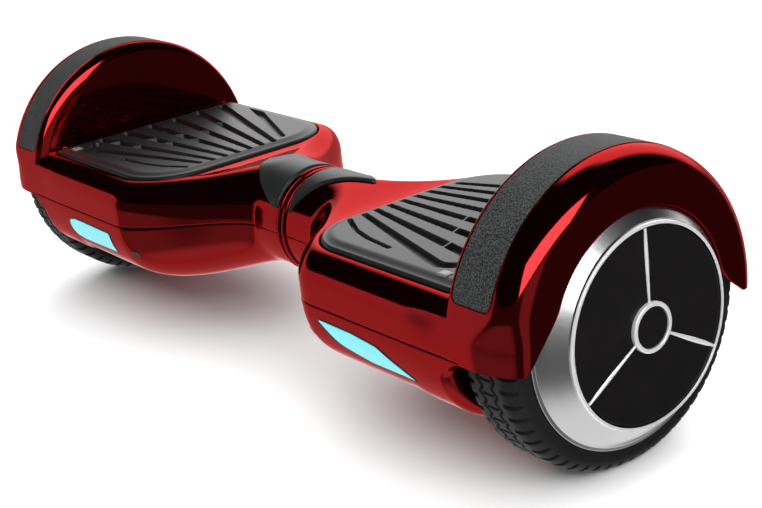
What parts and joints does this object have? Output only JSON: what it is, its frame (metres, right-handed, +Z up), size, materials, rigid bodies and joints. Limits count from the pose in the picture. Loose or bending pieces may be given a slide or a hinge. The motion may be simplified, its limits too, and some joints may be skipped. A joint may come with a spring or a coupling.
{
  "type": "self balancing hoverboard",
  "caption": "Two-wheeled self balancing board: two twisting halves with foot mats, fenders, headlights and hub motor wheels.",
  "frame": {"origin": "centre of the footprint on the floor", "axes": "+X along the wheel axles towards the right half, -Y is the front with the headlights, +Z up"},
  "size_m": [0.5852, 0.186, 0.178],
  "materials": {
    "red_shell": "metallic chrome-like red lacquer, mirror gloss",
    "satin_black": "satin moulded black",
    "grip": "coarse grit non-slip strip",
    "mat_rubber": "moulded satin rubber",
    "lens": "translucent cyan lens",
    "tyre": "solid rubber with moulded tread",
    "rim": "turned and polished",
    "bright_trim": "bright plated",
    "disc_black": "fine satin black",
    "cast_frame": "as cast",
    "steel": "zinc plated",
    "bronze": "sintered, plain",
    "stator_iron": "laminated core with copper coils",
    "magnet": "nickel plated",
    "circuit_board": "solder mask",
    "battery": "shrink sleeve",
    "cable": "matt sleeve",
    "socket_black": "moulded"
  },
  "bodies": {
    "left_half": {"left_upper_shell": "red_shell", "left_lower_shell": "red_shell", "left_shell_screws": "steel", "left_grip_strip": "grip", "left_neck_cover": "satin_black", "left_headlight_lens": "lens", "left_headlight_board": "circuit_board", "left_gyro_board": "circuit_board", "left_board_screws": "steel", "left_chassis": "cast_frame", "left_axle_clamp": "cast_frame", "left_clamp_bolts": "steel", "left_axle": "steel", "left_stator": "stator_iron", "pivot_tube": "steel", "pivot_circlip": "steel", "pivot_pins": "steel", "harness": "cable", "battery_pack": "battery", "battery_strap": "steel"},
    "right_half": {"right_upper_shell": "red_shell", "right_lower_shell": "red_shell", "right_shell_screws": "steel", "right_grip_strip": "grip", "right_neck_cover": "satin_black", "right_headlight_lens": "lens", "right_headlight_board": "circuit_board", "right_gyro_board": "circuit_board", "right_board_screws": "steel", "right_chassis": "cast_frame", "right_axle_clamp": "cast_frame", "right_clamp_bolts": "steel", "right_axle": "steel", "right_stator": "stator_iron", "pivot_bushes": "bronze", "main_board": "circuit_board", "charge_socket": "socket_black", "power_switch": "socket_black"},
    "left_wheel": {"left_magnet_ring": "magnet", "left_rotor": "rim", "left_motor_cover": "rim", "left_cover_screws": "steel", "left_hub_bearings": "steel", "left_tyre": "tyre", "left_wheel_disc": "disc_black", "left_wheel_trim": "bright_trim", "left_centre_cap": "disc_black"},
    "right_wheel": {"right_magnet_ring": "magnet", "right_rotor": "rim", "right_motor_cover": "rim", "right_cover_screws": "steel", "right_hub_bearings": "steel", "right_tyre": "tyre", "right_wheel_disc": "disc_black", "right_wheel_trim": "bright_trim", "right_centre_cap": "disc_black"},
    "left_mat": {"left_foot_mat": "mat_rubber"},
    "right_mat": {"right_foot_mat": "mat_rubber"},
    "power_button": {"power_button": "bright_trim"}
  },
  "joints": [
    {"name": "centre_twist", "type": "hinge", "parent": "left_half", "child": "right_half", "pos_m": [0, 0, 0.085], "axis": [1, 0, 0], "range_deg": [-12, 12]},
    {"name": "left_wheel_spin", "type": "hinge", "parent": "left_half", "child": "left_wheel", "pos_m": [-0.2555, 0, 0.085], "axis": [1, 0, 0], "continuous": true},
    {"name": "right_wheel_spin", "type": "hinge", "parent": "right_half", "child": "right_wheel", "pos_m": [0.2555, 0, 0.085], "axis": [1, 0, 0], "continuous": true},
    {"name": "left_mat_press", "type": "slide", "parent": "left_half", "child": "left_mat", "axis": [0, 0, -1], "range_m": [0, 0.0015], "stiffness_N_per_m": 4000, "springref_m": -0.002},
    {"name": "right_mat_press", "type": "slide", "parent": "right_half", "child": "right_mat", "axis": [0, 0, -1], "range_m": [0, 0.0015], "stiffness_N_per_m": 4000, "springref_m": -0.002},
    {"name": "button_press", "type": "slide", "parent": "right_half", "child": "power_button", "axis": [0, -1, 0], "range_m": [0, 0.0012], "stiffness_N_per_m": 800, "springref_m": -0.001}
  ]
}
